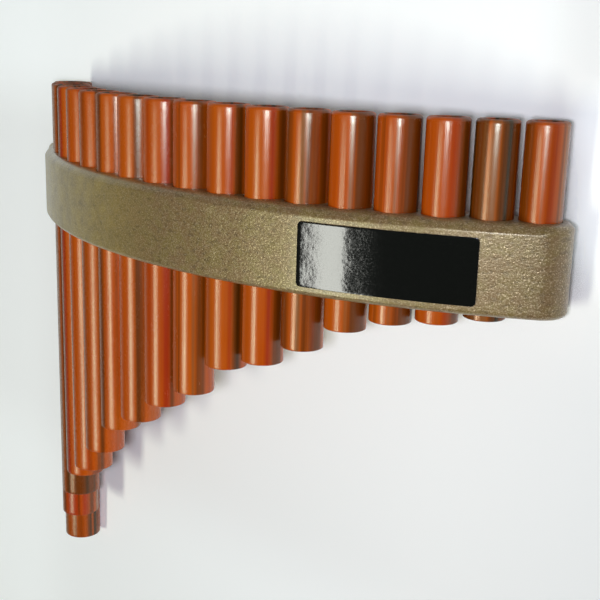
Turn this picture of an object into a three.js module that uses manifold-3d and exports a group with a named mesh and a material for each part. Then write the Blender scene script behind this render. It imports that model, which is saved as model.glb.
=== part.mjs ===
// Pan flute: eighteen stopped pipes side by side on an arc, held by a moulded band.
// Millimetres. The flute lies on a table with its convex side up: X runs along the row
// from the longest pipe to the shortest, Y points out of the mouths and Z points up.
// Every pipe shares one construction frame: the arc's centre is the origin there,
// the mouths lie in the plane Y = 0 and the pipes hang from it towards -Y.
import * as THREE from "three";
import { mergeVertices } from "three/addons/utils/BufferGeometryUtils.js";
import Module from "manifold-3d";

const wasm = await Module();
wasm.setup();

// Tuning: a stopped pipe sounds the note whose quarter wave is its air column
const longestQuarterWave = 164.8; // of C5, 523.25 Hz, in warm breath
const scaleDegrees = [0, 2, 4, 6, 7, 9, 11]; // semitones above the octave's first pipe
const mouthCorrection = 0.6; // part of the bore radius that the open mouth adds

// Pipes
const longestPipeDiameter = 13.5;
const shortestPipeDiameter = 9.9;
const pipeWall = 1.6;
const pipeGap = 0.95;
const lipRound = 0.9;
const lipInnerRound = 0.4;
const footChamfer = 0.4;
// Empty tube left below each stopper, longest pipe first
const footLengths = [7.5, 9, 10, 11, 10, 10.5, 9, 7, 7.5, 8.5, 5.5, 5, 5, 3.5, 2.5, 5.5, 7.5, 8.5];

// Stoppers, pushed up the bores from below
const stopperLength = 8;
const stopperChamfer = 0.8;
const stopperClearance = 0.15;

// Row and band
const arcRadius = 170; // from the arc's centre to the pipes' axes
const bandBelowMouths = 22.4;
const bandHeight = 22;
const bandWall = 2.8; // cover outside the pipes, in front, behind and at both ends
const bandEdgeRound = 2.2;
const bandCornerRound = 6.9;
const bandSeam = 0.3; // joint line between the two shells
const seatClearance = 0.2;

// Label on the front shell, above the short pipes
const labelWidth = 42;
const labelHeight = 16;
const labelThickness = 0.4;
const labelCornerRound = 1;
const labelGlue = 0.15;
const labelFromMiddle = 74; // along the row, towards the short pipes
const labelBelowBandTop = 3.6;

// How far a cutting body reaches past what it cuts
const overrun = 5;

// Facets
const roundSegments = 24;
const lipSteps = 2;
const bandSteps = 40;
const cornerSteps = 3;
const edgeSteps = 3;
const seamSegments = 120;

const colours = { pipe: 0xa8431a, stopper: 0x2a2624, band: 0x7c6f5c, label: 0x0c0c0e };

// Semitones of a pipe above the lowest one
function semitonesOf(index) {
  const octave = Math.floor(index / scaleDegrees.length);
  return 12 * octave + scaleDegrees[index % scaleDegrees.length];
}

// Every size of one pipe, from its note and its place in the taper of diameters
function describePipe(footLength, index) {
  const share = index / (footLengths.length - 1);
  const radius = THREE.MathUtils.lerp(longestPipeDiameter, shortestPipeDiameter, share) / 2;
  const boreRadius = radius - pipeWall;
  const quarterWave = longestQuarterWave / 2 ** (semitonesOf(index) / 12);
  const airColumn = quarterWave - mouthCorrection * boreRadius;
  const length = airColumn + stopperLength + footLength;
  return { radius, boreRadius, airColumn, length, number: String(index + 1).padStart(2, "0") };
}

// Pipe centres along the arc, each one gap clear of the last, with the row's middle at 0
function spacePipes(pipes) {
  let along = 0;
  pipes.forEach((pipe, index) => {
    if (index > 0) along += pipes[index - 1].radius + pipeGap + pipe.radius;
    pipe.along = along;
  });
  for (const pipe of pipes) pipe.along -= along / 2;
  return pipes;
}

const pipes = spacePipes(footLengths.map(describePipe));
const longest = pipes[0];
const shortest = pipes[pipes.length - 1];

// A point of the bent row in the plane across the pipes: distance along the arc, and
// distance outwards from the pipes' axes
function onRow(along, outwards) {
  const angle = along / arcRadius;
  const radius = arcRadius + outwards;
  return new THREE.Vector2(radius * Math.sin(angle), radius * Math.cos(angle));
}

// Half the band's thickness at a place along the row: it follows the taper of the pipes
function bandReach(along) {
  const share = (along - longest.along) / (shortest.along - longest.along);
  return THREE.MathUtils.lerp(longest.radius, shortest.radius, share) + bandWall;
}

// A group turned about the arc's centre, so that its own Z points straight out there
function stationAt(along) {
  const station = new THREE.Group();
  station.rotation.y = along / arcRadius;
  return station;
}

function namedMesh(name, geometry, material) {
  geometry.computeVertexNormals();
  const mesh = new THREE.Mesh(geometry, material);
  mesh.name = name;
  return mesh;
}

// Points of a quarter circle from one angle to the next, both ends included
function quarterRound(centreX, centreY, radius, fromAngle, steps) {
  const points = [];
  for (let step = 0; step <= steps; step += 1) {
    const angle = fromAngle + (Math.PI / 2) * (step / steps);
    points.push(new THREE.Vector2(centreX + radius * Math.cos(angle), centreY + radius * Math.sin(angle)));
  }
  return points;
}

// Pipe: a turned tube, open at both ends, with a rounded lip to blow across. The profile
// climbs the outside, rolls over the lip and comes back down the bore.
function pipeGeometry(pipe) {
  const outerRound = Math.min(lipRound, 0.55 * pipeWall);
  const innerRound = Math.min(lipInnerRound, 0.35 * pipeWall);
  const chamfer = Math.min(footChamfer, 0.4 * pipeWall);
  const foot = new THREE.Vector2(pipe.boreRadius, -pipe.length);
  const profile = [
    foot,
    new THREE.Vector2(pipe.radius - chamfer, -pipe.length),
    new THREE.Vector2(pipe.radius, -pipe.length + chamfer),
    ...quarterRound(pipe.radius - outerRound, -outerRound, outerRound, 0, lipSteps),
    ...quarterRound(pipe.boreRadius + innerRound, -innerRound, innerRound, Math.PI / 2, 1),
    foot.clone(),
  ];
  return new THREE.LatheGeometry(profile, roundSegments);
}

// Stopper: a plug with a broken top edge, whose top face ends the air column
function stopperGeometry(pipe) {
  const radius = pipe.boreRadius - stopperClearance;
  const top = -pipe.airColumn;
  const bottom = top - stopperLength;
  const chamfer = Math.min(stopperChamfer, stopperLength / 3, radius / 3);
  const profile = [
    new THREE.Vector2(0, bottom),
    new THREE.Vector2(radius, bottom),
    new THREE.Vector2(radius, top - chamfer),
    new THREE.Vector2(radius - chamfer, top),
    new THREE.Vector2(0, top),
  ];
  return new THREE.LatheGeometry(profile, roundSegments);
}

// Imitation wood: each pipe leans a little more to red or to brown than the next
function pipeMaterial(index) {
  const colour = new THREE.Color(colours.pipe);
  colour.offsetHSL(0.012 * Math.sin(2.4 * index), 0.05 * Math.sin(1.7 * index), 0.03 * Math.cos(2.9 * index));
  return new THREE.MeshStandardMaterial({ color: colour, roughness: 0.25, metalness: 0 });
}

function pipeStation(pipe, index) {
  const station = stationAt(pipe.along);
  const tube = namedMesh(`pipe_${pipe.number}`, pipeGeometry(pipe), pipeMaterial(index));
  const rubber = new THREE.MeshStandardMaterial({ color: colours.stopper, roughness: 0.8, metalness: 0 });
  const stopper = namedMesh(`stopper_${pipe.number}`, stopperGeometry(pipe), rubber);
  tube.position.z = arcRadius;
  stopper.position.z = arcRadius;
  station.add(tube, stopper);
  return station;
}

// A closed geometry, in the place its matrix gives it, as a solid for cutting
function toSolid(geometry, matrix = new THREE.Matrix4()) {
  const placed = geometry.clone().applyMatrix4(matrix);
  placed.deleteAttribute("normal");
  placed.deleteAttribute("uv");
  const merged = mergeVertices(placed, 1e-4);
  return new wasm.Manifold(new wasm.Mesh({
    numProp: 3,
    vertProperties: new Float32Array(merged.attributes.position.array),
    triVerts: new Uint32Array(merged.index.array),
  }));
}

function toGeometry(solid) {
  const mesh = solid.getMesh();
  const geometry = new THREE.BufferGeometry();
  geometry.setAttribute("position", new THREE.BufferAttribute(mesh.vertProperties, 3));
  geometry.setIndex(new THREE.BufferAttribute(mesh.triVerts, 1));
  return geometry;
}

// An outline in the plane across the pipes, drawn along them from one depth below the
// mouths to a deeper one, with its edges rounded if asked
function drawnDown(outline, fromDepth, toDepth, edgeRound = 0) {
  const geometry = new THREE.ExtrudeGeometry(new THREE.Shape(outline), {
    depth: toDepth - fromDepth - 2 * edgeRound,
    bevelEnabled: edgeRound > 0,
    bevelThickness: edgeRound,
    bevelSize: edgeRound,
    bevelOffset: -edgeRound,
    bevelSegments: edgeSteps,
  });
  geometry.translate(0, 0, fromDepth + edgeRound);
  geometry.rotateX(Math.PI / 2);
  return geometry;
}

// The band seen from the mouths: a bar that tapers with the pipes and bends with the row,
// with rounded corners beyond the two end pipes
function bandOutline() {
  const corner = Math.min(bandCornerRound, 0.9 * (shortest.radius + bandWall));
  const left = longest.along - longest.radius - bandWall + corner;
  const right = shortest.along + shortest.radius + bandWall - corner;
  const leftReach = bandReach(left) - corner;
  const rightReach = bandReach(right) - corner;
  const bar = [
    ...quarterRound(right, rightReach, corner, 0, cornerSteps),
    ...barEdge(right, left, 1),
    ...quarterRound(left, leftReach, corner, Math.PI / 2, cornerSteps),
    ...quarterRound(left, -leftReach, corner, Math.PI, cornerSteps),
    ...barEdge(left, right, -1),
    ...quarterRound(right, -rightReach, corner, 1.5 * Math.PI, cornerSteps),
  ];
  return bar.map((point) => onRow(point.x, point.y));
}

// Inner points of one long edge of the straight bar, on its outward or inward side
function barEdge(from, to, side) {
  const points = [];
  for (let step = 1; step < bandSteps; step += 1) {
    const along = THREE.MathUtils.lerp(from, to, step / bandSteps);
    points.push(new THREE.Vector2(along, side * bandReach(along)));
  }
  return points;
}

// The round seat that a pipe leaves in the band, right through it
function seatSolid(pipe) {
  const seatRadius = pipe.radius + seatClearance;
  const seat = new THREE.CylinderGeometry(seatRadius, seatRadius, bandHeight + 2 * overrun, roundSegments);
  const station = stationAt(pipe.along);
  const place = new THREE.Object3D();
  place.position.set(0, -bandBelowMouths - bandHeight / 2, arcRadius);
  station.add(place);
  station.updateMatrixWorld(true);
  return toSolid(seat, place.matrixWorld);
}

// A round block about the arc's centre, which parts the band's front from its back
function coreSolid(radius) {
  const core = new THREE.CylinderGeometry(radius, radius, bandHeight + 2 * overrun, seamSegments);
  core.translate(0, -bandBelowMouths - bandHeight / 2, 0);
  return toSolid(core);
}

// Band: one rounded body bored for every pipe and parted along the pipes' axes, so that
// the two shells close round the row from in front and from behind
function bandShells() {
  const edgeRound = Math.min(bandEdgeRound, 0.8 * bandWall);
  const body = toSolid(drawnDown(bandOutline(), bandBelowMouths, bandBelowMouths + bandHeight, edgeRound));
  const bored = pipes.reduce((solid, pipe) => solid.subtract(seatSolid(pipe)), body);
  const front = bored.subtract(coreSolid(arcRadius + bandSeam / 2));
  const back = bored.intersect(coreSolid(arcRadius - bandSeam / 2));
  const shell = (name, solid) => namedMesh(name, toGeometry(solid), new THREE.MeshStandardMaterial({
    color: colours.band, roughness: 0.55, metalness: 0, flatShading: true,
  }));
  return [shell("band_front", front), shell("band_back", back)];
}

// The skin just outside the front shell, over the label's width and a little more
function labelSkin() {
  const reachAlong = labelWidth / 2 + overrun;
  const steps = Math.ceil(bandSteps / 2);
  const inner = [];
  const outer = [];
  for (let step = 0; step <= steps; step += 1) {
    const local = THREE.MathUtils.lerp(-reachAlong, reachAlong, step / steps);
    const surface = bandReach(labelFromMiddle + local) + labelGlue;
    inner.push(onRow(local, surface));
    outer.unshift(onRow(local, surface + labelThickness));
  }
  return toSolid(drawnDown([...inner, ...outer], bandBelowMouths, bandBelowMouths + bandHeight));
}

// A rounded rectangle looking straight out at the label's place, to trim the skin
function labelTrim() {
  const halfWidth = labelWidth / 2;
  const top = -bandBelowMouths - labelBelowBandTop;
  const bottom = top - labelHeight;
  const round = labelCornerRound;
  const outline = [
    ...quarterRound(halfWidth - round, top - round, round, 0, cornerSteps),
    ...quarterRound(-halfWidth + round, top - round, round, Math.PI / 2, cornerSteps),
    ...quarterRound(-halfWidth + round, bottom + round, round, Math.PI, cornerSteps),
    ...quarterRound(halfWidth - round, bottom + round, round, 1.5 * Math.PI, cornerSteps),
  ];
  return toSolid(new THREE.ExtrudeGeometry(new THREE.Shape(outline), {
    depth: 2 * arcRadius, bevelEnabled: false,
  }));
}

// Label: a bare glossy plate bent over the front shell
function labelStation() {
  const station = stationAt(labelFromMiddle);
  const gloss = new THREE.MeshStandardMaterial({ color: colours.label, roughness: 0.15, metalness: 0 });
  station.add(namedMesh("label_plate", toGeometry(labelSkin().intersect(labelTrim())), gloss));
  return station;
}

// The flute, lifted onto its lowest edges with the origin under the middle of its box
function buildFlute() {
  const flute = new THREE.Group();
  pipes.forEach((pipe, index) => flute.add(pipeStation(pipe, index)));
  flute.add(...bandShells(), labelStation());
  const box = new THREE.Box3().setFromObject(flute);
  const middle = box.getCenter(new THREE.Vector3());
  flute.position.set(-middle.x, -middle.y, -box.min.z);
  return new THREE.Group().add(flute);
}

export default buildFlute();
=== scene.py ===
# %% [markdown]
# # A curved pan flute
#
# The real object is a small student's pan flute: eighteen stopped pipes of streaky
# orange-brown plastic, each a little shorter and thinner than the last, standing side by
# side on an arc. A moulded grey-brown band holds them, and a glossy black label plate,
# left bare here, sits on the band above the short pipes.
#
# The solids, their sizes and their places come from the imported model, which loads first
# and stays fixed. This lesson dresses it: every solid gets a finer surface of the same
# size in the same place, and then a finish.

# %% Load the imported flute
import math

import bpy
import numpy as np
from mathutils import Matrix, Vector


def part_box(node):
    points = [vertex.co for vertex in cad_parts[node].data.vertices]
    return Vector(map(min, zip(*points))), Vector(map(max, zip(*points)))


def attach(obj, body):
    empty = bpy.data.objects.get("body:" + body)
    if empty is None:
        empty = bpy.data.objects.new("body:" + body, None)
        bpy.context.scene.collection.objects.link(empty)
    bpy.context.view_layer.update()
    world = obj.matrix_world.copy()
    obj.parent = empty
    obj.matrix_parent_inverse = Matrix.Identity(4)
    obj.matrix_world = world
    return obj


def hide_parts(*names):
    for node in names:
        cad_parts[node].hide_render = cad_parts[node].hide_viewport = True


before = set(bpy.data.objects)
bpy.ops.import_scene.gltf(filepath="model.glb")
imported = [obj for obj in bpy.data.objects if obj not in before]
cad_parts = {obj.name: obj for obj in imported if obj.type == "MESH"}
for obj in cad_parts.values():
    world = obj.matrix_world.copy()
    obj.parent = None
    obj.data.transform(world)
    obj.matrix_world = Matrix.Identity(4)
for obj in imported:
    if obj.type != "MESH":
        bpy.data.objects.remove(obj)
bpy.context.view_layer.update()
MM = 0.001

# %% [markdown]
# ## Where the row lies
#
# The pipes lie side by side on an arc. The arc's centre, called the hub here, lies far
# below the table, and the front of each pipe faces straight away from it. The pipes'
# places could be typed in again one by one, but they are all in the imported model: the
# middle of a pipe's box is its axis. Only the diameters and the gap are repeated, because
# a box round a turned tube doesn't give them exactly. The hub then follows from the axes,
# and its spread over all the pipes shows how well the repeated sizes agree with the
# solids.

# %% Axes, angles and the hub
COUNT = 18
ARC_RADIUS = 170 * MM
RADII = np.linspace(13.5, 9.9, COUNT) / 2 * MM
GAP = 0.95 * MM  # between two pipes
WALL = 1.6 * MM  # of a pipe
COVER = 2.8 * MM  # from a pipe to the band's outside

steps = RADII[:-1] + GAP + RADII[1:]
ALONG = np.concatenate([[0.0], np.cumsum(steps)])
ALONG -= ALONG[-1] / 2
ANGLES = ALONG / ARC_RADIUS

boxes = [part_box(f"pipe_{number:02d}") for number in range(1, COUNT + 1)]
middles = np.array([(low + high) / 2 for low, high in boxes])
AXES = middles[:, [0, 2]]
MOUTH_Y = max(high.y for low, high in boxes)
FEET_Y = np.array([low.y for low, high in boxes])
hubs = AXES - ARC_RADIUS * np.column_stack([np.sin(ANGLES), np.cos(ANGLES)])
HUB = hubs.mean(axis=0)
print("hub x, z in mm:", (HUB / MM).round(3), "spread:", (np.ptp(hubs, axis=0) / MM).round(4))


# %% [markdown]
# ## The camera
#
# The photograph looks down over the short pipes, with the flute lying so that its mouths
# are at the top of the picture. A camera can be aimed with a Track To constraint, but this
# one is also rolled, so it is written as three directions: to the picture's right, up
# the picture, and into it. They come from fitting the pipes' outlines, as do the place
# and the focal length. The three are columns of the camera's rotation, and the place is
# measured from the hub and from the mouths' plane.

# %% Camera
LENS = 60.80
FROM_HUB_AND_MOUTHS = (0.228863, 0.01361, 0.334263)
TO_THE_RIGHT = (0.68422, 0.03041, -0.72864)
UP_THE_PICTURE = (-0.19489, 0.97042, -0.14251)


def aim(place, right, up):
    """The world matrix of something that looks along its own -Z, with +X to the right and
    +Y up."""
    right = Vector(right).normalized()
    up = (Vector(up) - Vector(up).dot(right) * right).normalized()
    turn = Matrix((right, up, right.cross(up))).transposed()
    return Matrix.Translation(place) @ turn.to_4x4()


camera_data = bpy.data.cameras.new("camera")
camera_data.sensor_fit = "HORIZONTAL"
camera_data.sensor_width = 36
camera_data.lens = LENS
camera_data.clip_start = 0.01
camera = bpy.data.objects.new("camera", camera_data)
anchor = (HUB[0], MOUTH_Y, HUB[1])
camera_place = tuple(start + step for start, step in zip(anchor, FROM_HUB_AND_MOUTHS))
camera.matrix_world = aim(camera_place, TO_THE_RIGHT, UP_THE_PICTURE)
bpy.context.scene.collection.objects.link(camera)
bpy.context.scene.camera = camera
into_picture = camera.matrix_world.to_3x3() @ Vector((0, 0, -1))
print("camera looks along", [round(value, 3) for value in into_picture])


# %% [markdown]
# ## Surfaces from grids
#
# A pipe, a stopper, a shell and a label are all the same idea: a closed profile carried
# along a path, or turned round an axis. Blender's Screw modifier or bmesh spin would turn
# the round ones, but not the band. So one helper serves all: it takes points in rows and
# columns, joins each row to the next, and closes the ends with a flat face or a point.
# Whole arrays of corners go into the mesh at once. The last step measures the signed
# volume, which is negative when the faces look inwards, and turns them round if so.

# %% Grid helper
def signed_volume(points, faces):
    """A closed surface's volume: a sixth of the sum of each triangle's box product."""
    corners = [points[[face[k] for face in faces]] for k in (0, 1, 2)]
    return np.einsum("ij,ij->", corners[0], np.cross(corners[1], corners[2])) / 6


def triangles(faces):
    """Fans of triangles over faces of any number of corners."""
    return [(face[0], face[k], face[k + 1]) for face in faces for k in range(1, len(face) - 1)]


def grid_object(name, grid, wrap_rows=False, ends=None, sharp=35):
    """Joins a grid of points, rows x columns x 3, into a closed mesh.
    Column c meets column c + 1, with the last one back at the first. Rows join in the
    same way if wrap_rows, and otherwise each end is closed by one face, or, where ends
    gives two points, by a fan of triangles about that point."""
    rows, columns = grid.shape[:2]
    index = np.arange(rows * columns).reshape(rows, columns)
    here = index if wrap_rows else index[:-1]
    there = np.roll(index, -1, axis=0) if wrap_rows else index[1:]
    quads = np.stack([here, np.roll(here, -1, 1), np.roll(there, -1, 1), there], axis=-1)
    faces = quads.reshape(-1, 4).tolist()
    points = grid.reshape(-1, 3)
    if ends is not None:
        points = np.vstack([points, ends])
        first, last = rows * columns, rows * columns + 1
        start = np.column_stack([np.roll(index[0], -1), index[0], np.full(columns, first)])
        stop = np.column_stack([index[-1], np.roll(index[-1], -1), np.full(columns, last)])
        faces += start.tolist() + stop.tolist()
    elif not wrap_rows:
        faces += [index[0][::-1].tolist(), index[-1].tolist()]
    if signed_volume(points, triangles(faces)) < 0:
        faces = [face[::-1] for face in faces]
    mesh = bpy.data.meshes.new(name)
    mesh.from_pydata(points.tolist(), [], faces)
    mesh.polygons.foreach_set("use_smooth", np.ones(len(faces), bool))
    mesh.set_sharp_from_angle(angle=math.radians(sharp))
    piece = bpy.data.objects.new(name, mesh)
    bpy.context.scene.collection.objects.link(piece)
    return piece


def store(piece, name, values):
    """Stores a number for every point of a piece, for its material to read."""
    stored = piece.data.attributes.new(name, "FLOAT", "POINT")
    stored.data.foreach_set("value", values.astype(np.float32))


def dress(piece, material, node):
    """Gives a piece its finish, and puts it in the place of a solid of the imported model."""
    piece.data.materials.append(material)
    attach(piece, "root")
    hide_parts(node)


def arc(centre, radius, start, stop, count):
    """Points of a circle's arc from one angle to another in degrees, both ends included."""
    angle = np.radians(np.linspace(start, stop, count))
    return np.array(centre) + radius * np.column_stack([np.cos(angle), np.sin(angle)])


def evenly(way, count, closed=False):
    """Points at evenly spaced lengths along a line of points. A closed line ends where it
    starts, and that point then comes only once."""
    steps = np.linalg.norm(np.diff(way, axis=0), axis=1)
    length = np.concatenate([[0], np.cumsum(steps)])
    marks = np.linspace(0, length[-1], count, endpoint=not closed)
    return np.column_stack([np.interp(marks, length, way[:, k]) for k in (0, 1)])


print("a quarter of the unit circle ends at", arc((0, 0), 1, 0, 90, 3)[-1].round(3))


# %% [markdown]
# ## Shader sums as Python sums
#
# A finish is a small network of nodes. Wiring every Math node by hand hides the idea, so
# a socket is wrapped in a class that knows +, - and *: writing 1 - mask adds the node.
# Every other node comes from one method, which takes the node's type, its settings and
# what goes into its sockets. The lights and the sky have such networks too, so the method
# belongs to any node tree, and a finish adds its shader and its place to that.

# %% Node helper
class Value:
    """One output of a node. Arithmetic on it adds Math nodes to its tree."""

    def __init__(self, tree, socket):
        self.tree, self.socket = tree, socket

    def _math(self, operation, first, second):
        return self.tree.add("ShaderNodeMath", {"operation": operation}, {0: first, 1: second})

    def __add__(self, other):
        return self._math("ADD", self, other)

    def __sub__(self, other):
        return self._math("SUBTRACT", self, other)

    def __rsub__(self, other):
        return self._math("SUBTRACT", other, self)

    def __mul__(self, other):
        return self._math("MULTIPLY", self, other)


class Nodes:
    """The node tree of a material, a light or the sky."""

    def __init__(self, tree):
        self.nodes, self.links = tree.nodes, tree.links

    def add(self, kind, settings=None, sockets=None, out=0):
        """Adds a node: its settings first, then values or links for its sockets."""
        node = self.nodes.new(kind)
        for name, value in (settings or {}).items():
            setattr(node, name, value)
        for name, value in (sockets or {}).items():
            self.join(value, node.inputs[name])
        return Value(self, node.outputs[out])

    def join(self, value, socket):
        """Links a Value to a socket, or writes a plain value on it."""
        if isinstance(value, Value):
            self.links.new(value.socket, socket)
        else:
            socket.default_value = value

    def ramp(self, value, low, high, bottom=0.0, top=1.0, shape="SMOOTHSTEP"):
        """Turns the range low..high of a value into bottom..top, and holds it there. The
        shape is a smooth step, or LINEAR for a straight one."""
        span = {"From Min": low, "From Max": high, "To Min": bottom, "To Max": top}
        return self.add(
            "ShaderNodeMapRange", {"interpolation_type": shape}, {"Value": value, **span}
        )

    def ray(self, what):
        """Something about the ray: 1 or 0 for its kind, or its length."""
        return self.add("ShaderNodeLightPath", out=what)


class Finish(Nodes):
    """A material and its nodes, with the shader's own constants set at the start."""

    def __init__(self, name, **constants):
        self.material = bpy.data.materials.new(name)
        self.material.use_nodes = True
        super().__init__(self.material.node_tree)
        self.shader = self.nodes["Principled BSDF"]
        self.set(**constants)
        self.place = self.add("ShaderNodeTexCoord", out="Object")

    def along(self, axis):
        """One of the object coordinates, X, Y or Z."""
        return self.add("ShaderNodeSeparateXYZ", sockets={"Vector": self.place}, out=axis)

    def stretched(self, scale):
        """Object coordinates times a scale for each direction."""
        return self.add("ShaderNodeMapping", sockets={"Vector": self.place, "Scale": scale})

    def noise(self, where, scale, detail=2.0, rough=0.5):
        """Cloudy noise from 0 to 1 at a place, in patches of about 1 / scale."""
        inputs = {"Vector": where, "Scale": scale, "Detail": detail, "Roughness": rough}
        return self.add("ShaderNodeTexNoise", sockets=inputs, out="Fac")

    def mix(self, share, first, second):
        """A colour between two colours."""
        inputs = {"Factor": share, 6: first, 7: second}
        return self.add("ShaderNodeMix", {"data_type": "RGBA"}, inputs, out=2)

    def bump(self, height, distance, strength):
        """A normal that leans as a height map of a given depth in metres would."""
        inputs = {"Height": height, "Distance": distance, "Strength": strength}
        return self.add("ShaderNodeBump", sockets=inputs, out="Normal")

    def attribute(self, name):
        """A number stored on the piece's points."""
        return self.add("ShaderNodeAttribute", {"attribute_name": name}, out="Fac")

    def set(self, **values):
        """Writes constants, or joins values that change over the surface, to the shader."""
        for socket, value in values.items():
            self.join(value, self.shader.inputs[socket.replace("_", " ")])


def srgb(red, green, blue):
    """A colour as it is seen on a screen, 0..255, as the shader's linear RGBA."""
    share = np.array([red, green, blue]) / 255
    linear = np.where(share <= 0.04045, share / 12.92, ((share + 0.055) / 1.055) ** 2.4)
    return (*linear.tolist(), 1.0)


print("mid grey on the screen is", round(srgb(128, 128, 128)[0], 3), "in the shader")

# %% [markdown]
# ## The pipes' finish
#
# The plastic is drawn through a die with darker colours in it, so every pipe carries
# streaks that run its whole length and hardly change on the way. A wave texture would
# repeat itself and be the same on every pipe. Here each pipe stores, on its points, how
# much brown, dark, mauve and red lies at each angle, and the material mixes those colours
# in. Two noises, squeezed hard across the pipe and hardly along it, break the streaks into
# fine lines. The same lines, as a bump, widen the gloss across the pipe and not along it,
# as lines drawn by a die do. The lip stores that it is a little blunter than the tube, and
# the long pipes, where the flute is held, are a little duller than the short ones. The
# gloss is tinted towards green, against the orange below it, which keeps its lines pale.

# %% Pipe plastic
pipes = Finish("pipe_plastic", IOR=1.58, Specular_Tint=(0.85, 0.91, 0.82, 1))
drawn = pipes.noise(pipes.stretched((1, 0.012, 1)), 900.0, 3.0, 0.6)
fine = pipes.noise(pipes.stretched((1, 0.002, 1)), 9000.0, 1.0)
cloud = pipes.noise(pipes.stretched((1, 0.15, 1)), 110.0)
break_up = (drawn - 0.5) * 0.9


def streak(name):
    """One stored streak, frayed by the drawn lines and left alone where it is zero."""
    stored = pipes.attribute(name)
    return pipes.ramp(stored + stored * break_up * 1.2, 0.08, 0.8)


orange = pipes.mix(pipes.ramp(drawn, 0.3, 0.7), srgb(182, 77, 0), srgb(168, 66, 0))
orange = pipes.mix(pipes.ramp(cloud, 0.35, 0.75, 0, 0.45), orange, srgb(182, 88, 2))
tone = pipes.mix(streak("red"), orange, srgb(156, 44, 2))
tone = pipes.mix(streak("brown") * 0.9, tone, srgb(92, 44, 4))
tone = pipes.mix(streak("mauve") * 0.85, tone, srgb(124, 78, 40))
tone = pipes.mix(streak("dark") * 0.95, tone, srgb(46, 28, 2))
scuffs = pipes.noise(pipes.stretched((1, 0.3, 1)), 420.0, 4.0, 0.7)
scuffed = pipes.ramp(scuffs, 0.35, 0.8, 0.21, 0.27)
handled = pipes.ramp(pipes.along("X") * -1, -0.05, 0.02, 0, 0.045)
pipes.set(
    Base_Color=tone,
    Roughness=scuffed + handled + pipes.attribute("lip") * 0.35,
    Normal=pipes.bump(fine + drawn * 0.15, 0.025 * MM, 0.8),
)
print("pipe finish:", len(pipes.nodes), "nodes")
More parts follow.
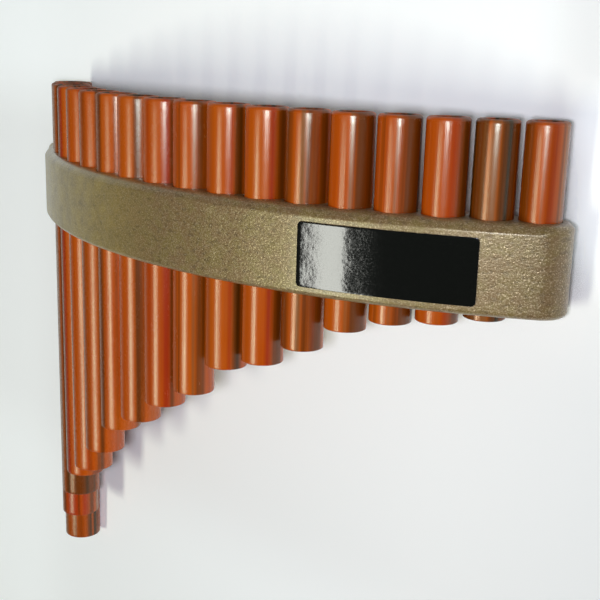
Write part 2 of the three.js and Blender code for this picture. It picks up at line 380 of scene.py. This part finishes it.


# %% [markdown]
# ## Streaks chosen pipe by pipe
#
# The visible side of each pipe has its own streaks. Each is a bell curve round the pipe,
# given by its middle in degrees from straight outwards, its width and its strength. The
# dark streaks near ninety degrees, on the sides that face the next pipes, are partly real
# streaks and partly painted shade from the neighbouring pipes. The far side, which the
# photograph doesn't show, gets a few more from a seeded generator.

# %% Streak table
STREAKS = {
    (1, "brown"): [(75, 40, 0.5), (120, 14, 0.55)],
    (1, "dark"): [(138, 7, 0.8), (122, 3, 0.7), (152, 12, 0.5)],
    (1, "mauve"): [(22, 22, 0.8), (165, 14, 0.6)],
    (2, "brown"): [(28, 12, 0.7), (85, 5, 0.5), (128, 16, 0.6)],
    (2, "mauve"): [(10, 16, 0.8), (160, 14, 0.8)],
    (2, "red"): [(62, 26, 0.9), (108, 14, 0.6)],
    (3, "brown"): [(100, 60, 0.95), (38, 10, 0.5)],
    (3, "dark"): [(44, 6, 0.55), (104, 9, 0.5), (132, 8, 0.4)],
    (3, "mauve"): [(10, 16, 0.8)],
    (4, "brown"): [(5, 12, 0.7), (116, 24, 0.55), (150, 16, 0.5)],
    (4, "mauve"): [(88, 4, 0.3)],
    (4, "red"): [(20, 12, 0.7), (128, 20, 0.6)],
    (5, "brown"): [(2, 12, 0.45), (66, 6, 0.4), (88, 9, 0.45), (103, 9, 0.75)],
    (5, "mauve"): [(-6, 12, 0.5)],
    (5, "red"): [(60, 16, 0.4)],
    (6, "brown"): [(12, 20, 0.45), (62, 9, 0.7)],
    (6, "mauve"): [(-8, 12, 0.6), (112, 8, 0.3)],
    (6, "dark"): [(64, 3, 0.3)],
    (7, "brown"): [(4, 14, 0.75), (56, 7, 0.4), (128, 18, 0.65)],
    (7, "mauve"): [(-14, 10, 0.6), (130, 14, 0.4)],
    (8, "brown"): [(52, 10, 0.75), (66, 7, 0.3)],
    (8, "mauve"): [(-20, 10, 0.35), (140, 12, 0.5)],
    (8, "dark"): [(57, 4, 0.3)],
    (9, "brown"): [(-18, 9, 0.2), (73, 9, 0.65)],
    (9, "red"): [(58, 14, 0.8), (5, 12, 0.4)],
    (10, "brown"): [(-12, 22, 0.3), (60, 10, 0.7), (74, 8, 0.5)],
    (10, "dark"): [(3, 4, 0.5), (-28, 6, 0.25)],
    (10, "mauve"): [(46, 6, 0.6)],
    (11, "brown"): [(-22, 12, 0.3), (70, 15, 0.95)],
    (11, "dark"): [(72, 9, 0.5)],
    (11, "mauve"): [(-10, 5, 0.3)],
    (11, "red"): [(50, 8, 0.5)],
    (12, "brown"): [(-50, 16, 0.65), (78, 20, 0.9)],
    (12, "dark"): [(78, 6, 0.25)],
    (12, "red"): [(50, 12, 0.7)],
    (13, "brown"): [(-32, 22, 0.7), (30, 7, 0.5), (44, 14, 0.45), (74, 18, 0.8)],
    (13, "mauve"): [(16, 9, 0.75)],
    (13, "dark"): [(-60, 8, 0.2)],
    (13, "red"): [(58, 10, 0.5)],
    (14, "brown"): [(-58, 12, 0.4), (36, 10, 0.55), (50, 10, 0.6), (74, 22, 0.75)],
    (14, "mauve"): [(22, 8, 0.6)],
    (14, "dark"): [(29, 3, 0.4)],
    (14, "red"): [(62, 16, 0.6)],
    (15, "brown"): [(-30, 5, 0.55), (26, 8, 0.25), (54, 26, 0.95)],
    # the dark streaks near ninety degrees here are partly painted shade between the pipes
    (15, "dark"): [(-24, 2.5, 0.5), (88, 18, 0.7)],
    (15, "mauve"): [(12, 8, 0.5)],
    (15, "red"): [(34, 10, 0.4)],
    (16, "brown"): [(64, 27, 0.85), (-72, 10, 0.4)],
    (16, "red"): [(34, 26, 0.45), (-55, 14, 0.4)],
    (16, "mauve"): [(12, 8, 0.25)],
    (16, "dark"): [(90, 14, 0.4)],
    (17, "brown"): [(-62, 18, 1.0), (-38, 12, 0.5), (-26, 7, 0.9), (22, 10, 0.8), (50, 22, 0.9)],
    (17, "dark"): [(-72, 11, 0.9), (38, 8, 1.0), (24, 4, 0.4), (-50, 3, 0.4), (72, 10, 0.5)],
    (17, "mauve"): [(0, 15, 0.85), (-30, 5, 0.5)],
    (17, "red"): [(57, 8, 0.5)],
    (18, "brown"): [(-58, 28, 0.75), (24, 34, 0.35), (46, 5, 0.4)],
    (18, "dark"): [(-84, 10, 0.4)],
    (18, "mauve"): [(66, 17, 0.9), (-4, 5, 0.4)],
    (18, "red"): [(22, 16, 0.6)],
}
HIDDEN = {"brown": 4, "dark": 2, "mauve": 3, "red": 3}  # streaks on the far side


def streak_share(angles, streaks):
    """Sum of bell curves round the pipe: strength x exp(-(turn / width) squared), where
    turn is the shortest way round to the streak's middle. Angles are in degrees."""
    middle, width, strength = np.array(streaks, float).T[:, :, None]
    turn = (angles[None, :] - middle + 180) % 360 - 180
    return (strength * np.exp(-((turn / width) ** 2))).sum(axis=0).clip(0, 1)


def hidden_streaks(number, tone):
    """A few streaks for the side away from the camera, the same on every run."""
    chance = np.random.default_rng(1000 * number + list(HIDDEN).index(tone))
    count = HIDDEN[tone]
    to_eye = np.array(camera_place)[[0, 2]] - AXES[number - 1]
    seen_middle = math.degrees(math.atan2(to_eye[0], to_eye[1]))
    middle = seen_middle - math.degrees(ANGLES[number - 1]) + chance.uniform(105, 255, count)
    return list(zip(middle, chance.uniform(4, 16, count), chance.uniform(0.4, 0.9, count)))


print("streaks by hand:", sum(len(streaks) for streaks in STREAKS.values()))

# %% [markdown]
# ## Pipes
#
# Each pipe is a tube, open at both ends. Its upper edge is rounded over, so that it can
# be blown across without hurting the lip, and its foot is cut square with a tiny broken
# edge. Turning a profile round the axis is the natural way: radius and height are
# functions of one parameter, the angle is the other. The profile is a closed loop, up the
# outside, over the lip and down the bore, so the grid wraps both ways and has no seam.

# %% Pipe surfaces
AROUND = 128
LIP = 0.88 * MM
INNER_LIP = 0.42 * MM
FOOT_EDGE = 0.35 * MM
BORE_EDGE = 0.2 * MM


def pipe_profile(radius, foot):
    """Loop of (radius, height from the mouths): foot's edge, wall, lip, bore, foot's edge."""
    bore = radius - WALL
    outside = np.linspace(foot + 1.2 * MM, -3 * MM, 8)
    inside = np.linspace(-2 * MM, foot + 1 * MM, 4)
    return np.vstack([
        arc((radius - FOOT_EDGE, foot + FOOT_EDGE), FOOT_EDGE, -90, 0, 5),
        np.column_stack([np.full_like(outside, radius), outside]),
        arc((radius - LIP, -LIP), LIP, 0, 90, 9),
        arc((bore + INNER_LIP, -INNER_LIP), INNER_LIP, 90, 180, 6),
        np.column_stack([np.full_like(inside, bore), inside]),
        arc((bore + BORE_EDGE, foot + BORE_EDGE), BORE_EDGE, 180, 270, 3),
    ])


def turned(profile, axis, facing):
    """Turns a profile round an axis parallel to Y: x and z are the axis plus radius times
    the sine and cosine of the angle, y the mouths' plane plus height. Angle 0 is straight
    out from the hub."""
    angle = np.linspace(0, 2 * np.pi, AROUND, endpoint=False)
    radius, height = profile[:, 0][:, None], profile[:, 1][:, None]
    x = axis[0] + radius * np.sin(angle + facing)
    z = axis[1] + radius * np.cos(angle + facing)
    y = np.broadcast_to(MOUTH_Y + height, x.shape)
    return np.stack([x, y, z], axis=-1), np.degrees(angle)


for number in range(1, COUNT + 1):
    place = number - 1
    profile = pipe_profile(RADII[place], FEET_Y[place] - MOUTH_Y)
    grid, degrees = turned(profile, AXES[place], ANGLES[place])
    piece = grid_object(f"tube_{number:02d}", grid, wrap_rows=True)
    for tone_name in HIDDEN:
        streaks = STREAKS.get((number, tone_name), []) + hidden_streaks(number, tone_name)
        store(piece, tone_name, np.tile(streak_share(degrees, streaks), len(profile)))
    blunt = np.clip(1 + profile[:, 1] / (1 * MM), 0, 1)
    store(piece, "lip", np.repeat(blunt, AROUND))
    dress(piece, pipes.material, f"pipe_{number:02d}")
print("pipes:", COUNT, "with", len(profile), "x", AROUND, "points each")

# %% [markdown]
# ## Stoppers
#
# A stopper closes each bore and sets its note: the air above it is a quarter of the
# note's wave. It is a plain rubber plug, pushed up from below, and shows only when the
# flute is looked at from its feet. The rubber is dark and matt, with a fine grain.

# %% Rubber and stoppers
rubber = Finish("stopper_rubber", IOR=1.5)
grain = rubber.noise(rubber.place, 2500.0, 3.0)
rubber.set(
    Base_Color=rubber.mix(grain, srgb(34, 30, 28), srgb(52, 47, 43)),
    Roughness=rubber.ramp(grain, 0.2, 0.8, 0.62, 0.8),
    Normal=rubber.bump(grain, 0.08 * MM, 0.6),
)

PLUG_PLAY = 0.02 * MM
PLUG_FOOT = 0.5 * MM
PLUG_HEAD = 0.8 * MM
# The dished foot, from its middle outwards: share of the radius, and rise.
PLUG_DISH = ((0, 0.55 * MM), (0.3, 0.5 * MM), (0.55, 0.25 * MM), (0.7, 0))

for number in range(1, COUNT + 1):
    place = number - 1
    low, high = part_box(f"stopper_{number:02d}")
    radius = RADII[place] - WALL - PLUG_PLAY
    top, bottom = high.y - MOUTH_Y, low.y - MOUTH_Y
    dish = [(share * radius, bottom + rise) for share, rise in PLUG_DISH]
    profile = np.vstack([
        dish[1:],
        arc((radius - PLUG_FOOT, bottom + PLUG_FOOT), PLUG_FOOT, -90, 0, 5),
        arc((radius - PLUG_HEAD, top - PLUG_HEAD), PLUG_HEAD, 0, 90, 6),
        [(0.4 * radius, top)],
    ])
    grid, _ = turned(profile, AXES[place], ANGLES[place])
    axis_x, axis_z = AXES[place]
    poles = [(axis_x, MOUTH_Y + height, axis_z) for height in (dish[0][1], top)]
    piece = grid_object(f"plug_{number:02d}", grid, ends=poles)
    dress(piece, rubber.material, f"stopper_{number:02d}")
print("stoppers:", COUNT)

# %% [markdown]
# ## The band's finish
#
# The band is a grey-brown moulding, mottled like cork or suede, with fine flecks that
# sparkle where the light catches them. Four noises make it: clouds of a few millimetres
# for the mottling, a grain under a millimetre, creases drawn out along the row, and specks,
# whose peaks are the pale, slightly metallic flecks. Grain, creases and specks also feed
# the bump. Towards the long pipes the clouds let a paler tone through, which is painted
# light for the brighter light that end catches. The short end is darkened, which is painted
# shade where its corner turns away from the light. A thin satin coat gives the sheen beside
# the label. Worley cells could give a leather pebble, but the real grain has no cells, only
# specks and short creases.

# %% Band moulding
moulding = Finish(
    "band_moulding", IOR=1.65, Specular_Tint=(1, 0.92, 0.68, 1),
    Coat_Weight=0.5, Coat_Roughness=0.26,
)
clouds = moulding.noise(moulding.place, 240.0, 3.0, 0.6)
grain = moulding.noise(moulding.place, 1500.0, 2.5, 0.6)
speck = moulding.noise(moulding.place, 2900.0, 3.0, 0.7)
creases = moulding.noise(moulding.stretched((0.6, 1.1, 0.6)), 1100.0, 2.0, 0.5)
reach = moulding.along("X")
olive, brown = srgb(116, 97, 54), srgb(114, 87, 56)
ground = moulding.mix(moulding.ramp(clouds, 0.35, 0.65), olive, brown)
ground = moulding.mix(moulding.ramp(grain, 0.48, 0.72, 0, 0.75), ground, srgb(142, 120, 92))
ground = moulding.mix(moulding.ramp(creases, 0.28, 0.5, 0.7, 0), ground, srgb(78, 58, 34))
# painted light: a paler, cloudy tone towards the long pipes, where the band catches more light
painted_light_long_end = moulding.ramp(reach * -1, -0.015, 0.02) * moulding.ramp(clouds, 0.3, 0.7, 0.08, 0.4)
ground = moulding.mix(painted_light_long_end, ground, srgb(186, 166, 74))
# painted shade: the short end's corner darkened where it turns away from the light
painted_shade_short_end = moulding.ramp(reach, 0.1, 0.108, 0, 0.35)
ground = moulding.mix(painted_shade_short_end, ground, srgb(70, 46, 20))
flecks = moulding.ramp(speck, 0.5, 0.66)
moulding.set(
    Base_Color=moulding.mix(flecks * 0.45, ground, srgb(218, 198, 168)),
    Metallic=flecks * 0.4,
    Roughness=moulding.ramp(speck, 0.3, 0.7, 0.42, 0.34),
    Normal=moulding.bump(grain + creases * 0.7 + speck * 0.3, 0.14 * MM, 0.9),
)
print("band finish:", len(moulding.nodes), "nodes")


# %% [markdown]
# ## The band
#
# The band wraps the whole row: it bends with the arc, thins with the pipes, and every
# pipe passes through a round seat in it. It is made in two shells, front and back, glued
# together along the pipes' axes. Boolean cuts would give ragged shading round the seats.
# Instead each shell is a path of cross-sections: the inner end of a section follows the
# seats, half a circle for every pipe, and the outer end follows the outside, which turns
# the corner beyond the last pipe at each end. A section is a slab between those two ends,
# with its two outer edges rounded.
#
# Thick plastic sinks a little as it cools, so the outside dips by a few hundredths of a
# millimetre between two pipes, where the band is thickest.

# %% Band paths
TOP_ROUND = 2.3 * MM
END_TIGHTENING = 1.0 * MM  # how much tighter the upper roll gets past the last pipe
END_REACH = 3 * MM  # the way in which it does so
BOTTOM_ROUND = 1.2 * MM
CREASE = math.radians(24)
CORNER_ROUND = 6.9 * MM
SOFT = 1 * MM  # radius of the crease
BROKEN = 0.12 * MM  # off the seats' edges
SEAT_CLEARANCE = 0.1 * MM
SEAT_TURN = 89.2  # degrees to each side, just short of half a circle in all
SEAT_POINTS = 33
HALF_SEAT = SEAT_POINTS // 2
SINK = 0.05 * MM
low_front, high_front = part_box("band_front")
BAND_LOW, BAND_HIGH = low_front.y, high_front.y


def on_row(along, outwards):
    """Bends the straight row: the hub plus (arc radius + outwards) times the sine and
    cosine of along / arc radius."""
    angle = along / ARC_RADIUS
    reach = ARC_RADIUS + outwards
    return np.stack([HUB[0] + reach * np.sin(angle), HUB[1] + reach * np.cos(angle)], axis=-1)


def along_row(x, z):
    """The other way round: arc radius times the angle of a point as seen from the hub."""
    return ARC_RADIUS * np.arctan2(x - HUB[0], z - HUB[1])


def reach_at(along):
    """Half the band's thickness: the pipes' radius there plus the cover, less the sink."""
    radius = np.interp(along, ALONG, RADII)
    phase = np.interp(along, ALONG, np.arange(COUNT))
    return radius + COVER - SINK * (1 - np.cos(2 * np.pi * phase)) / 2


def end_outline(end):
    """Outside of the band from above the last pipe, round the corner, to the joint:
    (along, outwards) at evenly spaced lengths of that way."""
    sign, seat, radius = (1, ALONG[-1], RADII[-1]) if end > 0 else (-1, ALONG[0], RADII[0])
    half = radius + COVER
    turn = arc((half - CORNER_ROUND, half - CORNER_ROUND), CORNER_ROUND, 90, 0, 24)
    way = evenly(np.vstack([[(0, half)], turn, [(half, 0)]]), HALF_SEAT + 1)
    return np.column_stack([seat + sign * way[:, 0], way[:, 1]])


def shell_paths(side):
    """Inner and outer ends of every section of one shell, as (x, z) points.
    side is 1 in front and -1 behind. A seat's arc turns by SEAT_TURN to each side from
    straight out, or from straight in behind."""
    inner, outer = [], []
    theta = np.radians(np.linspace(-SEAT_TURN, SEAT_TURN, SEAT_POINTS))
    for place in range(COUNT):
        seat = RADII[place] + SEAT_CLEARANCE
        local_x, local_z = seat * np.sin(theta), side * seat * np.cos(theta)
        sine, cosine = math.sin(ANGLES[place]), math.cos(ANGLES[place])
        x = AXES[place][0] + local_x * cosine + local_z * sine
        z = AXES[place][1] - local_x * sine + local_z * cosine
        along = along_row(x, z)
        out = on_row(along, side * reach_at(along))
        if place == 0:
            way = end_outline(-1)[::-1]
            out[:HALF_SEAT + 1] = on_row(way[:, 0], side * way[:, 1])
        if place == COUNT - 1:
            way = end_outline(1)
            out[HALF_SEAT:] = on_row(way[:, 0], side * way[:, 1])
        inner.append(np.column_stack([x, z]))
        outer.append(out)
    return np.vstack(inner), np.vstack(outer)


inner, outer = shell_paths(1)
thinnest = np.linalg.norm(outer - inner, axis=1).min()
print("front shell sections:", len(inner), "thinnest, mm:", (thinnest / MM).round(2))

# %% [markdown]
# A section is a loop of points (depth in from the outside, height along the pipes). The
# two outer edges roll over in an arc that leaves the front face at a slight angle, so a
# crease runs along the band and catches the light. The crease is a small circle that
# touches the face and, from inside, the arc. The seat's own edges are only broken, by a
# tenth of a millimetre. Carrying the loop along the two paths means walking from each
# outer point towards its inner point by the loop's depth.


# %% Band shells
def rolled_edge(thickness, edge_round):
    """Depth and drop of an outer edge's points, for arrays of thicknesses and edge rounds.
    On the crease's circle they are SOFT x (1 - cos turn) and a constant - SOFT x sin turn,
    on the arc bend x (cos CREASE - cos turn) and bend x (1 - sin turn). The two touch
    where their depths agree."""
    bend = (edge_round / (1 - math.sin(CREASE)))[:, None]
    inner_depth = (thickness - BROKEN)[:, None]
    touch = np.arccos((bend * math.cos(CREASE) - SOFT) / (bend - SOFT))
    last = np.arccos((bend * math.cos(CREASE) - inner_depth).clip(0) / bend)
    small = touch * np.linspace(0, 1, 5)[None, :-1]
    large = touch + (last - touch) * np.linspace(0, 1, 9)[None, :]
    depth = np.hstack([SOFT * (1 - np.cos(small)), bend * (math.cos(CREASE) - np.cos(large))])
    start = bend - (bend - SOFT) * np.sin(touch)
    drop = np.hstack([start - SOFT * np.sin(small), bend * (1 - np.sin(large))])
    depth[:, -1:] = inner_depth
    return depth, drop


def section_loop(thickness, top_round, bottom_round):
    """Depth and height of a section's points, for arrays of thicknesses and edge rounds."""
    depth_high, drop_high = rolled_edge(thickness, top_round)
    depth_low, drop_low = rolled_edge(thickness, bottom_round)
    low, high = BAND_LOW + drop_low, BAND_HIGH - drop_high
    margin = 0.3 * MM
    bottom, top = low[:, :1] + margin, high[:, :1] - margin
    face = bottom + (top - bottom) * np.linspace(0, 1, 8)[None, :]
    seat = np.hstack([thickness[:, None]] * 2)
    depth = np.hstack([depth_low[:, ::-1], np.zeros_like(face), depth_high, seat])
    height = np.hstack([low[:, ::-1], face, high, high[:, -1:] - BROKEN, low[:, -1:] + BROKEN])
    return depth, height


def shell_grid(side):
    """Carries the section along the paths: outer point plus depth along the unit step
    inwards."""
    inner, outer = shell_paths(side)
    step = inner - outer
    thickness = np.linalg.norm(step, axis=1)
    past = np.abs(along_row(outer[:, 0], outer[:, 1])) - ALONG[-1]
    top_round = TOP_ROUND - END_TIGHTENING * np.clip(past / END_REACH, 0, 1)
    depth, height = section_loop(thickness, top_round, np.full_like(top_round, BOTTOM_ROUND))
    plane = outer[:, None, :] + depth[:, :, None] * (step / thickness[:, None])[:, None, :]
    return np.stack([plane[..., 0], height, plane[..., 1]], axis=-1)


for name, node, side in (("shell_front", "band_front", 1), ("shell_back", "band_back", -1)):
    grid = shell_grid(side)
    piece = grid_object(name, grid, sharp=40)
    dress(piece, moulding.material, node)
    print(name, "sections x points:", grid.shape[:2])

# %% [markdown]
# ## The label plate
#
# A thin glossy black plate lies on the front shell and bends with it. It is left bare. It
# could be a plane with Solidify and Bevel, but its corners are rounded in outline too. So
# it is a set of loops: one rounded rectangle, shrunk towards the middle for the face,
# lowered for the edge and drawn in again underneath. Each loop is laid on the band by the
# same bending as the band itself.

# %% Label plate and its finish
gloss = Finish("label_gloss", IOR=1.64, Specular_Tint=(0.54, 0.52, 0.64, 1))
waves = gloss.noise(gloss.place, 260.0, 2.0)
ragged = gloss.noise(gloss.place, 1100.0, 3.0, 0.6)
dust = gloss.noise(gloss.place, 3500.0, 2.0, 0.8)
gloss.set(
    Base_Color=gloss.mix(
        gloss.ramp(dust, 0.62, 0.8, 0, 0.25), srgb(13, 15, 12), srgb(60, 62, 58)
    ),
    Roughness=gloss.ramp(dust, 0.4, 0.8, 0.05, 0.16),
    Normal=gloss.bump(waves + ragged * 0.4, 0.04 * MM, 0.5),
)

HALF_WIDE = 21 * MM
HALF_TALL = 8 * MM
LABEL_CORNER = 1.0 * MM
LABEL_ALONG = 74 * MM  # its middle, along the row
LABEL_Y = BAND_HIGH - 3.6 * MM - HALF_TALL
FACE_RISE = 0.42 * MM  # over the shell
GLUE_RISE = 0.03 * MM
EDGE_ROUND = 0.12 * MM
UNDER_INSET = 0.05 * MM
LABEL_POINTS = 240


def rounded_rectangle(half_wide, half_tall, corner, count):
    """Outline of a rounded rectangle about 0, as count points evenly spaced along it."""
    centres = [(1, -1, -90), (1, 1, 0), (-1, 1, 90), (-1, -1, 180)]
    turns = [
        arc((sx * (half_wide - corner), sy * (half_tall - corner)), corner, start, start + 90, 8)
        for sx, sy, start in centres
    ]
    return evenly(np.vstack(turns + [turns[0][:1]]), count, closed=True)


def on_label(right, up, rise):
    """Bends a flat point of the label, or an array of them, on to the shell."""
    along = LABEL_ALONG + right
    plane = on_row(along, reach_at(along) + rise)
    return np.stack([plane[..., 0], LABEL_Y + up, plane[..., 1]], axis=-1)


def label_loop(share, inset, rise):
    """The outline shrunk to a share and drawn in by an inset, at a rise over the shell."""
    half_wide, half_tall = HALF_WIDE - inset, HALF_TALL - inset
    outline = rounded_rectangle(half_wide, half_tall, LABEL_CORNER, LABEL_POINTS) * share
    return on_label(outline[:, 0], outline[:, 1], rise)


face = [label_loop(share, EDGE_ROUND, FACE_RISE) for share in np.linspace(0.04, 1, 22)]
edge = [
    label_loop(1, EDGE_ROUND * (1 - math.sin(turn)), FACE_RISE - EDGE_ROUND * (1 - math.cos(turn)))
    for turn in np.radians([25, 50, 75, 90])
]
under = [label_loop(share, UNDER_INSET, GLUE_RISE) for share in (1, 0.75, 0.5, 0.25, 0.05)]
poles = [on_label(0.0, 0.0, rise) for rise in (FACE_RISE, GLUE_RISE)]
piece = grid_object("plate_label", np.stack(face + edge + under), ends=poles)
dress(piece, gloss.material, "label_plate")
print("label:", len(face + edge + under), "loops of", LABEL_POINTS, "points")

# %% [markdown]
# ## The table
#
# The flute rests on the band's two lower ends and on the foot of its longest pipe, so the
# table leans about one and a half degrees against the pipes. Its height follows from
# those two places. It is a wide pale sheet, turned up all round like a photographer's
# sweep, so that no dark horizon shows from low down.
#
# The picture's ground is nearly white and a little uneven. A glow that only the camera and
# the gloss of the pipes see makes it so, without adding light to the flute. Near the row
# the glow is painted light, and in the pipes' gloss a painted reflection. It grows to the
# left, above and below the row and beside the shortest pipe, and there it lifts the flute's
# shadows beyond the mouths and beside the band's end. Far from the flute it covers
# everything evenly. Close under the short pipes and along the mouths the sheet's colour is
# darkened, which is painted shade where little of the sky reaches it, and a little painted
# shade darkens it towards the lower right.

# %% Table
FLAT_TO = 1.4  # radius at which the sheet starts to turn up, in metres
TURN_WIDTH, TURN_HEIGHT = 1.2, 0.9  # of the part that is turned up
SPOKES = 96
CONTACT = 2.3 * MM  # from the band's lower face to where it touches the table

foot_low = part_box("pipe_01")[0]
rest_y = BAND_LOW + CONTACT
lean = foot_low.z / (rest_y - foot_low.y)
turn_out = np.linspace(FLAT_TO + 0.05, FLAT_TO + TURN_WIDTH, 24)
rings = np.concatenate([np.linspace(0.02, FLAT_TO, 24), turn_out])
angle = np.linspace(0, 2 * np.pi, SPOKES, endpoint=False)
rise = TURN_HEIGHT * (np.clip(rings - FLAT_TO, 0, None) / TURN_WIDTH) ** 2
x = rings[:, None] * np.cos(angle)
y = rings[:, None] * np.sin(angle)
z = rise[:, None] - lean * (y - rest_y)
sheet = np.stack([x, y, z], axis=-1)
index = np.arange(len(rings) * SPOKES).reshape(-1, SPOKES)
after = np.roll(index, -1, 1)
quads = np.stack([index[:-1], index[1:], after[1:], after[:-1]], axis=-1)
faces = quads.reshape(-1, 4).tolist() + [index[0].tolist()]
table_mesh = bpy.data.meshes.new("table")
table_mesh.from_pydata(sheet.reshape(-1, 3).tolist(), [], faces)
table_mesh.polygons.foreach_set("use_smooth", np.ones(len(faces), bool))
table = bpy.data.objects.new("table", table_mesh)
bpy.context.scene.collection.objects.link(table)

paper = Finish("table_paper", Roughness=0.9, IOR=1.3, Emission_Strength=1.0)
spread, beyond = paper.along("X"), paper.along("Y")
tint = paper.noise(paper.place, 3.0, 1.0)
sheet_tone = paper.mix(tint, srgb(246, 244, 252), srgb(240, 240, 251))
# painted shade: the sheet a little darker towards the lower right
painted_shade_lower_right = paper.ramp(spread, 0.06, 0.14, 0, 0.5) * paper.ramp(beyond, 0.02, 0.05, 1, 0)
sheet_tone = paper.mix(painted_shade_lower_right, sheet_tone, srgb(226, 226, 236))

under_short_pipes = paper.ramp(spread, 0.02, 0.06)
near_mouths = paper.ramp(beyond, 0.07, 0.082)
open_sky = paper.add("ShaderNodeAmbientOcclusion", {"samples": 6}, {"Distance": 0.05}, out="AO")
# painted shade: the sheet's colour darkens under the short pipes and along the mouths, where
# little sky reaches
painted_shade_under_row = 1 - (1 - under_short_pipes) * (1 - near_mouths)
painted_shade_under_row = painted_shade_under_row * paper.ramp(open_sky, 0.1, 0.42, 1, 0)

# painted light: a glow near the row, seen by the camera and in the pipes' gloss, that lifts the
# flute's shadows on the sheet
left = paper.ramp(spread * -1, 0.105, 0.16, 0, 0.3)
right = paper.ramp(spread, 0.096, 0.106) * paper.ramp(spread, 0.112, 0.13, 1, 0)
right = right * paper.ramp(beyond, 0.045, 0.062) * paper.ramp(beyond, 0.088, 0.1, 1, 0)
above = paper.ramp(beyond, 0.064, 0.1, 0, 0.56) * paper.ramp(spread, 0.085, 0.105, 1, 0.2)
below = paper.ramp(beyond * -1, 0.04, 0.08, 0, 0.23)
glow = 1 - (1 - left) * (1 - right) * (1 - above) * (1 - below)
across = paper.add(
    "ShaderNodeVectorMath", {"operation": "LENGTH"}, {0: paper.place}, out="Value"
)
far = paper.ramp(across, 0.4, 0.8)
directly = paper.ray("Is Camera Ray") * (1 - (1 - glow) * (1 - far))
seen = paper.ray("Is Glossy Ray") * glow + directly
paper.set(
    Base_Color=paper.mix(painted_shade_under_row, sheet_tone, srgb(66, 62, 54)),
    Emission_Color=paper.mix(seen * (1 - painted_shade_under_row), (0, 0, 0, 1), (0.27, 0.31, 0.32, 1)),
)
table.data.materials.append(paper.material)
print("table leans", round(math.degrees(math.atan(lean)), 2), "degrees")


# %% [markdown]
# ## Light
#
# Two lights and a sky do what the photograph's do. A long bright window nearly overhead,
# further towards the feet than the mouths, a touch greenish yellow, draws the narrow cream
# line along every pipe. A small flash beside the lens, a touch blue, draws the pale line
# at the middle of each pipe below its lip, and the narrow shadow beyond the mouths. It
# lights near and far things alike, up to a little way behind the flute, and fades from
# there on. A faint sky, a little brighter overhead, fills in the rest. The strengths are
# given as what each light adds to a white sheet facing it at the flute, so that together
# they make about one and colours come out as written.

# %% Lights
MIDDLE = Vector((0.02, 0.03, 0.03))
ALONG_PIPES = Vector((0, 1, 0))
BESIDE_LENS = Vector((-0.015, -0.0095, 0.0))


def area_light(name, place, size, share, colour):
    """A rectangle of light, of a size across and along the pipes, that adds a given share
    of white in the middle of the flute. Power = share x pi squared x distance squared, by
    Lambert's law for a small source."""
    place = Vector(place)
    data = bpy.data.lights.new(name, "AREA")
    data.shape, data.size, data.size_y = "RECTANGLE", *size
    distance = (MIDDLE - place).length
    data.energy = share * math.pi ** 2 * distance ** 2
    data.color = colour
    light = bpy.data.objects.new(name, data)
    back = (place - MIDDLE).normalized()
    up = ALONG_PIPES - ALONG_PIPES.dot(back) * back
    light.matrix_world = aim(place, ALONG_PIPES.cross(back), up)
    light.visible_camera = False
    bpy.context.scene.collection.objects.link(light)
    return light, distance


def even_out(light, distance):
    """Takes the inverse square out of a light, so that near and far things get what the
    middle of the flute gets: strength = (way / distance) squared x fade, where fade falls
    from 1 at half a metre from the light to 0.05 at 1.3 metres."""
    light.data.use_nodes = True
    tree = Nodes(light.data.node_tree)
    constant = tree.add(
        "ShaderNodeLightFalloff", sockets={"Strength": 1 / distance ** 2}, out="Constant"
    )
    fade = tree.ramp(tree.ray("Ray Length"), 0.5, 1.3, 1.0, 0.05, shape="LINEAR")
    tree.join(constant * fade, tree.nodes["Emission"].inputs["Strength"])


area_light("window", (-0.07, -0.97, 3.40), (0.58, 1.50), 0.42, (0.93, 0.98, 0.74))
flash_place = camera.location + camera.matrix_world.to_3x3() @ BESIDE_LENS
even_out(*area_light("flash", flash_place, (0.030, 0.021), 0.69, (0.955, 0.98, 1.0)))

world = bpy.data.worlds.new("sky")
world.use_nodes = True
sky = Nodes(world.node_tree)
background = sky.nodes["Background"]
background.inputs["Color"].default_value = (0.97, 0.98, 1.0, 1)
towards = sky.add("ShaderNodeTexCoord", out="Generated")
height = sky.add("ShaderNodeSeparateXYZ", sockets={"Vector": towards}, out="Z")
strength = sky.ramp(height, 0.35, 0.95, 0.03, 0.07, shape="LINEAR")
sky.join(strength, background.inputs["Strength"])
bpy.context.scene.world = world
bpy.context.scene.view_settings.view_transform = "Standard"
